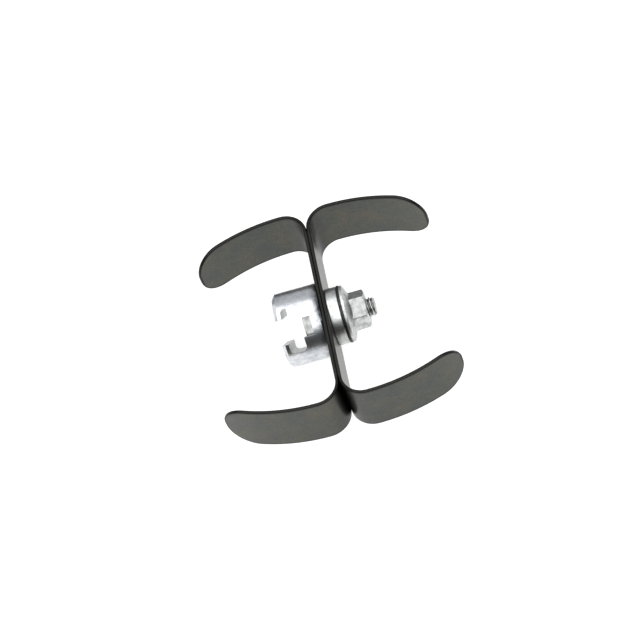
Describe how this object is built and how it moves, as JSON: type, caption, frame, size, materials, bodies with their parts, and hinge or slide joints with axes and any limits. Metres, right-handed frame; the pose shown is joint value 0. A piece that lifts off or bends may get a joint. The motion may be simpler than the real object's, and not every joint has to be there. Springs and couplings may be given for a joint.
{
  "type": "drain cleaning cutter head",
  "caption": "Drain cleaning cutter head with curved spring-steel arms, bolted back to back on a cylindrical T-slot coupling with a collar and flange nut.",
  "frame": {"origin": "on the axis of rotation, in the plane of the coupling's rear rim where the cable's coupling meets it", "axes": "+X along the axis of rotation from the cable towards the nut, +Y along the blades' webs, +Z across the width of the strip, upwards as it lies on a table"},
  "size_m": [0.0704, 0.0674, 0.022],
  "materials": {
    "zinc_plated_coupling": "turned steel, bright zinc plated",
    "tempered_blade_steel": "hardened and tempered spring steel strip, oiled, satin",
    "zinc_plated_collar": "turned steel, bright zinc plated",
    "black_oxide_washer": "spring steel, black oxide",
    "zinc_plated_nut": "cold formed steel, zinc plated",
    "zinc_plated_bolt": "rolled thread steel, zinc plated"
  },
  "bodies": {
    "root": {"coupling_body": "zinc_plated_coupling", "rear_blade": "tempered_blade_steel", "front_blade": "tempered_blade_steel", "clamp_collar": "zinc_plated_collar", "lock_washer": "black_oxide_washer", "flange_nut": "zinc_plated_nut", "clamp_bolt": "zinc_plated_bolt"}
  },
  "joints": []
}
